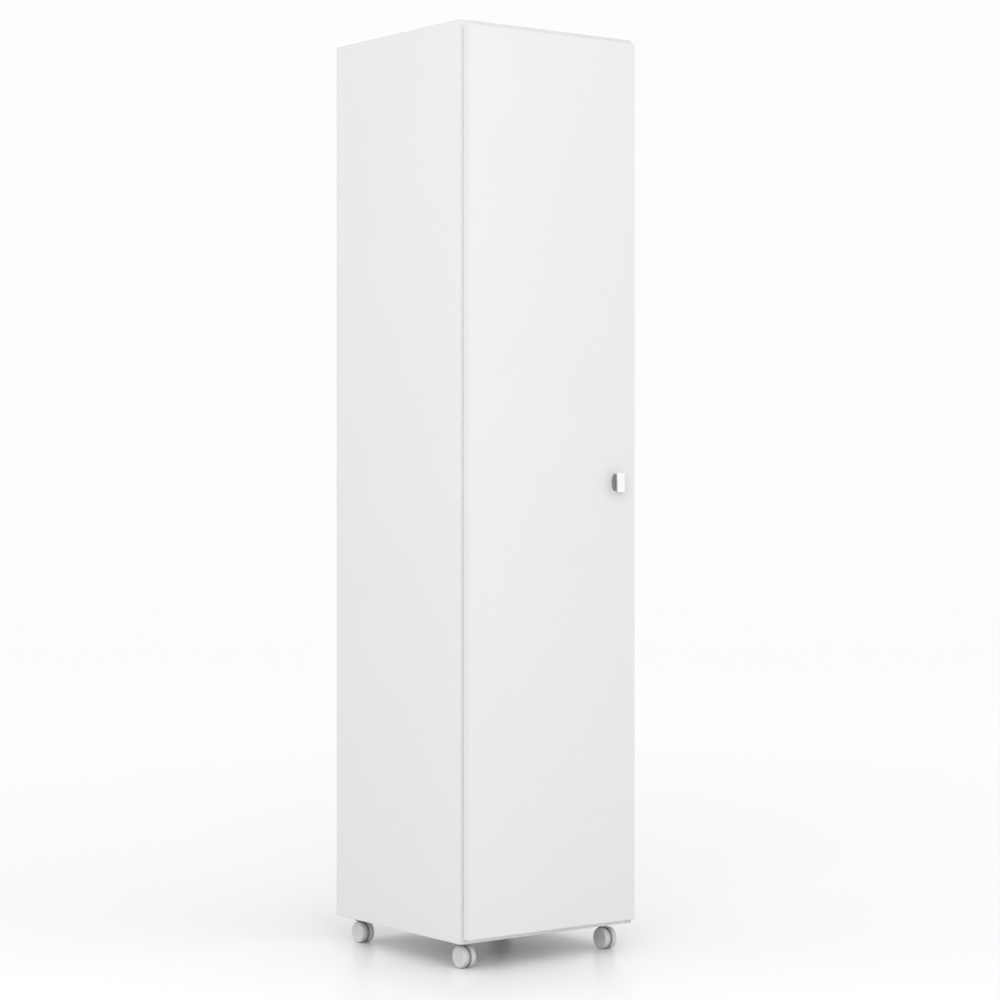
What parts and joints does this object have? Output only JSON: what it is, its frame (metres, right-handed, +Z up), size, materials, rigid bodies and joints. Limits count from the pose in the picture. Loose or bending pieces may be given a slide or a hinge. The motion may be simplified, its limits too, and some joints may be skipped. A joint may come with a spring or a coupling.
{
  "type": "broom cupboard",
  "caption": "Tall narrow broom cupboard with a full-height hinged door, small pull knob, inner shelf, broom hooks and swivelling twin-wheel castors.",
  "frame": {"origin": "on the floor, under the centre of the closed cupboard's bounding box", "axes": "+Z up along the height, +X to the right along the width, +Y from the door to the back"},
  "size_m": [0.4, 0.445, 1.72],
  "materials": {
    "melamine_board": "satin white melamine",
    "back_hardboard": "raw hardboard outside, white foil inside",
    "joint_strip_plastic": "satin",
    "dowel_beech": "raw",
    "knob_chrome": "polished",
    "pad_rubber": "soft",
    "hook_steel": "white powder coat",
    "castor_plastic": "moulded satin",
    "castor_zinc": "zinc plated",
    "hinge_nickel": "nickel plated",
    "screw_zinc": "zinc plated"
  },
  "bodies": {
    "carcass": {"back_joint_strip": "joint_strip_plastic", "back_nails": "screw_zinc", "back_panel_lower": "back_hardboard", "back_panel_upper": "back_hardboard", "bottom_panel": "melamine_board", "broom_hooks": "hook_steel", "cam_bolts": "screw_zinc", "cam_locks": "screw_zinc", "castor_plate_front_left": "castor_zinc", "castor_plate_front_right": "castor_zinc", "castor_plate_rear_left": "castor_zinc", "castor_plate_rear_right": "castor_zinc", "castor_screws": "screw_zinc", "dowels": "dowel_beech", "fixed_shelf": "melamine_board", "hinge_adjusting_screws": "hinge_nickel", "hinge_arm_lower": "hinge_nickel", "hinge_arm_middle": "hinge_nickel", "hinge_arm_upper": "hinge_nickel", "hinge_plate_lower": "hinge_nickel", "hinge_plate_middle": "hinge_nickel", "hinge_plate_screws": "screw_zinc", "hinge_plate_upper": "hinge_nickel", "hinge_rivets": "hinge_nickel", "hook_rail": "melamine_board", "hook_screws": "screw_zinc", "side_panel_left": "melamine_board", "side_panel_right": "melamine_board", "top_panel": "melamine_board"},
    "door": {"door_pads": "pad_rubber", "door_panel": "melamine_board", "hinge_cup_lower": "hinge_nickel", "hinge_cup_middle": "hinge_nickel", "hinge_cup_screws": "screw_zinc", "hinge_cup_upper": "hinge_nickel", "knob": "knob_chrome", "knob_screw": "screw_zinc"},
    "outer_links": {"hinge_outer_link_lower": "hinge_nickel", "hinge_outer_link_middle": "hinge_nickel", "hinge_outer_link_upper": "hinge_nickel"},
    "inner_links": {"hinge_inner_link_lower": "hinge_nickel", "hinge_inner_link_middle": "hinge_nickel", "hinge_inner_link_upper": "hinge_nickel"},
    "castor_front_left": {"castor_housing_front_left": "castor_plastic", "castor_axle_front_left": "castor_zinc"},
    "wheel_front_left_left": {"wheel_front_left_left": "castor_plastic"},
    "wheel_front_left_right": {"wheel_front_left_right": "castor_plastic"},
    "castor_front_right": {"castor_housing_front_right": "castor_plastic", "castor_axle_front_right": "castor_zinc"},
    "wheel_front_right_left": {"wheel_front_right_left": "castor_plastic"},
    "wheel_front_right_right": {"wheel_front_right_right": "castor_plastic"},
    "castor_rear_left": {"castor_housing_rear_left": "castor_plastic", "castor_axle_rear_left": "castor_zinc"},
    "wheel_rear_left_left": {"wheel_rear_left_left": "castor_plastic"},
    "wheel_rear_left_right": {"wheel_rear_left_right": "castor_plastic"},
    "castor_rear_right": {"castor_housing_rear_right": "castor_plastic", "castor_axle_rear_right": "castor_zinc"},
    "wheel_rear_right_left": {"wheel_rear_right_left": "castor_plastic"},
    "wheel_rear_right_right": {"wheel_rear_right_right": "castor_plastic"}
  },
  "joints": [
    {"name": "door_hinge", "type": "hinge", "parent": "carcass", "child": "door", "pos_m": [-0.1905, -0.194, 0.885], "axis": [0, 0, -1], "range_deg": [0, 105]},
    {"name": "outer_link_turn", "type": "hinge", "parent": "carcass", "child": "outer_links", "pos_m": [-0.1795, -0.193, 0.885], "axis": [0, 0, -1], "range_deg": [0, 126.5]},
    {"name": "inner_link_turn", "type": "hinge", "parent": "carcass", "child": "inner_links", "pos_m": [-0.177, -0.1885, 0.885], "axis": [0, 0, -1], "range_deg": [0, 99]},
    {"name": "swivel_front_left", "type": "hinge", "parent": "carcass", "child": "castor_front_left", "pos_m": [-0.165, -0.1405, 0.045], "axis": [0, 0, 1], "continuous": true},
    {"name": "spin_front_left_left", "type": "hinge", "parent": "castor_front_left", "child": "wheel_front_left_left", "pos_m": [-0.165, -0.1495, 0.02], "axis": [1, 0, 0], "continuous": true},
    {"name": "spin_front_left_right", "type": "hinge", "parent": "castor_front_left", "child": "wheel_front_left_right", "pos_m": [-0.165, -0.1495, 0.02], "axis": [1, 0, 0], "continuous": true},
    {"name": "swivel_front_right", "type": "hinge", "parent": "carcass", "child": "castor_front_right", "pos_m": [0.165, -0.1405, 0.045], "axis": [0, 0, 1], "continuous": true},
    {"name": "spin_front_right_left", "type": "hinge", "parent": "castor_front_right", "child": "wheel_front_right_left", "pos_m": [0.165, -0.1495, 0.02], "axis": [1, 0, 0], "continuous": true},
    {"name": "spin_front_right_right", "type": "hinge", "parent": "castor_front_right", "child": "wheel_front_right_right", "pos_m": [0.165, -0.1495, 0.02], "axis": [1, 0, 0], "continuous": true},
    {"name": "swivel_rear_left", "type": "hinge", "parent": "carcass", "child": "castor_rear_left", "pos_m": [-0.165, 0.1895, 0.045], "axis": [0, 0, 1], "continuous": true},
    {"name": "spin_rear_left_left", "type": "hinge", "parent": "castor_rear_left", "child": "wheel_rear_left_left", "pos_m": [-0.165, 0.1805, 0.02], "axis": [1, 0, 0], "continuous": true},
    {"name": "spin_rear_left_right", "type": "hinge", "parent": "castor_rear_left", "child": "wheel_rear_left_right", "pos_m": [-0.165, 0.1805, 0.02], "axis": [1, 0, 0], "continuous": true},
    {"name": "swivel_rear_right", "type": "hinge", "parent": "carcass", "child": "castor_rear_right", "pos_m": [0.165, 0.1895, 0.045], "axis": [0, 0, 1], "continuous": true},
    {"name": "spin_rear_right_left", "type": "hinge", "parent": "castor_rear_right", "child": "wheel_rear_right_left", "pos_m": [0.165, 0.1805, 0.02], "axis": [1, 0, 0], "continuous": true},
    {"name": "spin_rear_right_right", "type": "hinge", "parent": "castor_rear_right", "child": "wheel_rear_right_right", "pos_m": [0.165, 0.1805, 0.02], "axis": [1, 0, 0], "continuous": true}
  ],
  "couplings": [
    {"joint": "outer_link_turn", "follows": "door_hinge", "ratio": 1.2},
    {"joint": "inner_link_turn", "follows": "door_hinge", "ratio": 0.94}
  ]
}
